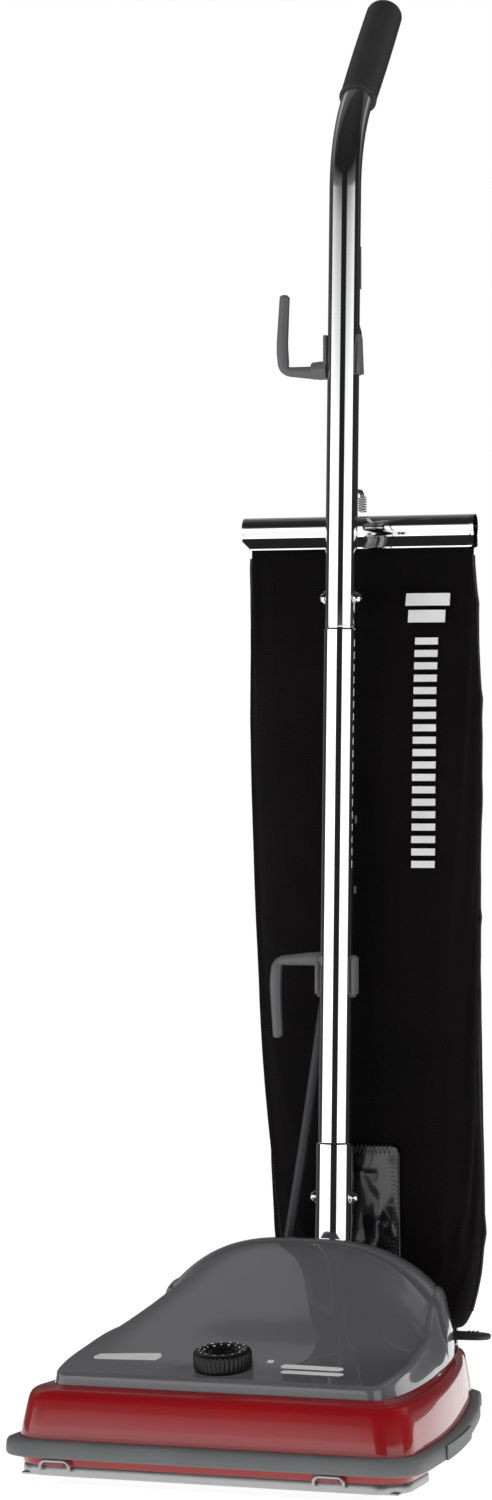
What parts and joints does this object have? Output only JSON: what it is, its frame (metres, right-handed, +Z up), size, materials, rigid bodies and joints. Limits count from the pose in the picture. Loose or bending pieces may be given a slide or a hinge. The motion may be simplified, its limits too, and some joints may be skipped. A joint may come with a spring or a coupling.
{
  "type": "upright vacuum cleaner",
  "caption": "Commercial upright vacuum cleaner with a wide nozzle base, domed motor hood, reclining chromed tube handle, cord hooks and a hanging cloth dust bag.",
  "frame": {"origin": "bottom centre of the machine's box, on the floor", "axes": "+Z up, -Y towards the nozzle, +X towards the pedal side"},
  "size_m": [0.3246, 0.4389, 1.1583],
  "materials": {
    "red_paint": "deep red gloss enamel",
    "grey_vinyl": "matte grey vinyl",
    "bright_steel": "bright plated steel",
    "zinc_sheet": "zinc plated sheet",
    "hood_plastic": "mid grey gloss",
    "black_plastic": "black satin",
    "duct_plastic": "black gloss",
    "cast_alloy": "die cast",
    "motor_can": "dark grey enamel",
    "copper": "enamelled copper and laminations",
    "steel": "ground steel",
    "carbon": "carbon",
    "rubber": "black rubber",
    "wheel_rubber": "black rubber tread",
    "chrome": "polished chrome",
    "hook_plastic": "mid grey satin",
    "grip_rubber": "charcoal satin",
    "pedal_plastic": "dark grey satin",
    "bristle": "black nylon bristle",
    "roller_steel": "chromed steel",
    "cable": "grey cable jacket",
    "bag_cloth": "black woven cloth",
    "patch_vinyl": "glossy black vinyl"
  },
  "bodies": {
    "base": {"base_housing": "red_paint", "furniture_guard": "grey_vinyl", "nozzle_guard": "bright_steel", "guard_clips": "bright_steel", "bottom_plate": "zinc_sheet", "fan_housing": "black_plastic", "fan_cover": "cast_alloy", "motor_housing": "motor_can", "motor_end_cap": "cast_alloy", "field_core": "copper", "front_bearing": "steel", "rear_bearing": "steel", "carbon_brushes": "carbon", "drive_belt": "rubber", "roller_bearings": "black_plastic", "motor_hood": "hood_plastic", "hood_screws": "steel", "exhaust_duct": "duct_plastic", "trunnion_frame": "cast_alloy", "trunnion_bolts": "steel", "rear_axle": "steel", "pedal_bracket": "zinc_sheet"},
    "rotor": {"rotor_shaft": "steel", "belt_pulley": "steel", "suction_fan": "cast_alloy", "armature": "copper", "commutator": "copper"},
    "roller": {"brush_roller": "roller_steel", "roller_bristles": "bristle"},
    "knob": {"height_knob": "black_plastic", "height_cam": "black_plastic"},
    "carriage": {"wheel_carriage": "zinc_sheet"},
    "front_left_wheel": {"front_wheel_left": "wheel_rubber"},
    "front_right_wheel": {"front_wheel_right": "wheel_rubber"},
    "rear_left_wheel": {"rear_wheel_left": "wheel_rubber"},
    "rear_right_wheel": {"rear_wheel_right": "wheel_rubber"},
    "pedal": {"release_pedal": "pedal_plastic"},
    "handle": {"handle_bail": "cast_alloy", "handle_socket": "chrome", "middle_tube": "chrome", "upper_tube": "chrome", "hand_grip": "grip_rubber", "tube_bolts": "chrome", "upper_hook_bracket": "hook_plastic", "lower_cord_hook": "hook_plastic", "switch_plate": "hook_plastic", "supply_gland": "black_plastic", "lead_bushing": "black_plastic", "lead_grommet": "black_plastic", "cord_clips": "hook_plastic", "switch_lead": "cable", "dust_bag": "bag_cloth", "bag_inlet_patch": "patch_vinyl", "fill_tube": "duct_plastic", "bag_hook": "steel", "bag_spring": "steel"},
    "hook": {"upper_cord_hook": "hook_plastic"},
    "switch": {"rocker_switch": "black_plastic"},
    "channel": {"bag_channel": "chrome"}
  },
  "joints": [
    {"name": "handle_recline", "type": "hinge", "parent": "base", "child": "handle", "pos_m": [0, 0.11578, 0.05], "axis": [-1, 0, 0], "range_deg": [0, 62]},
    {"name": "rotor_spin", "type": "hinge", "parent": "base", "child": "rotor", "pos_m": [0, 0.02578, 0.062], "axis": [0, 1, 0], "continuous": true},
    {"name": "roller_spin", "type": "hinge", "parent": "base", "child": "roller", "pos_m": [0, -0.17622, 0.029], "axis": [1, 0, 0], "continuous": true},
    {"name": "knob_turn", "type": "hinge", "parent": "base", "child": "knob", "pos_m": [-0.003, -0.16422, 0.08665], "axis": [0, -0.1483, 0.9889], "range_deg": [0, 270]},
    {"name": "carriage_slide", "type": "slide", "parent": "base", "child": "carriage", "axis": [0, 0, -1], "range_m": [0, 0.006]},
    {"name": "front_left_roll", "type": "hinge", "parent": "carriage", "child": "front_left_wheel", "pos_m": [-0.062, -0.11922, 0.013], "axis": [1, 0, 0], "continuous": true},
    {"name": "front_right_roll", "type": "hinge", "parent": "carriage", "child": "front_right_wheel", "pos_m": [0.062, -0.11922, 0.013], "axis": [1, 0, 0], "continuous": true},
    {"name": "rear_left_roll", "type": "hinge", "parent": "base", "child": "rear_left_wheel", "pos_m": [-0.082, 0.11178, 0.025], "axis": [1, 0, 0], "continuous": true},
    {"name": "rear_right_roll", "type": "hinge", "parent": "base", "child": "rear_right_wheel", "pos_m": [0.082, 0.11178, 0.025], "axis": [1, 0, 0], "continuous": true},
    {"name": "pedal_press", "type": "hinge", "parent": "base", "child": "pedal", "pos_m": [0.084, 0.11478, 0.08], "axis": [0, 1, 0], "range_deg": [0, 9], "stiffness_Nm_per_rad": 1.2, "springref_deg": -4.58},
    {"name": "hook_swivel", "type": "hinge", "parent": "handle", "child": "hook", "pos_m": [0, 0.10402, 0.847], "axis": [1, 0, 0], "range_deg": [0, 180]},
    {"name": "switch_rock", "type": "hinge", "parent": "handle", "child": "switch", "pos_m": [0, 0.12104, 0.93], "axis": [1, 0, 0], "range_deg": [0, 16]},
    {"name": "channel_slide", "type": "slide", "parent": "handle", "child": "channel", "axis": [1, 0, 0], "range_m": [0, 0.2]}
  ],
  "couplings": [
    {"joint": "roller_spin", "follows": "rotor_spin", "ratio": 0.35714},
    {"joint": "carriage_slide", "follows": "knob_turn", "m_per_rad": 0.0012732}
  ]
}
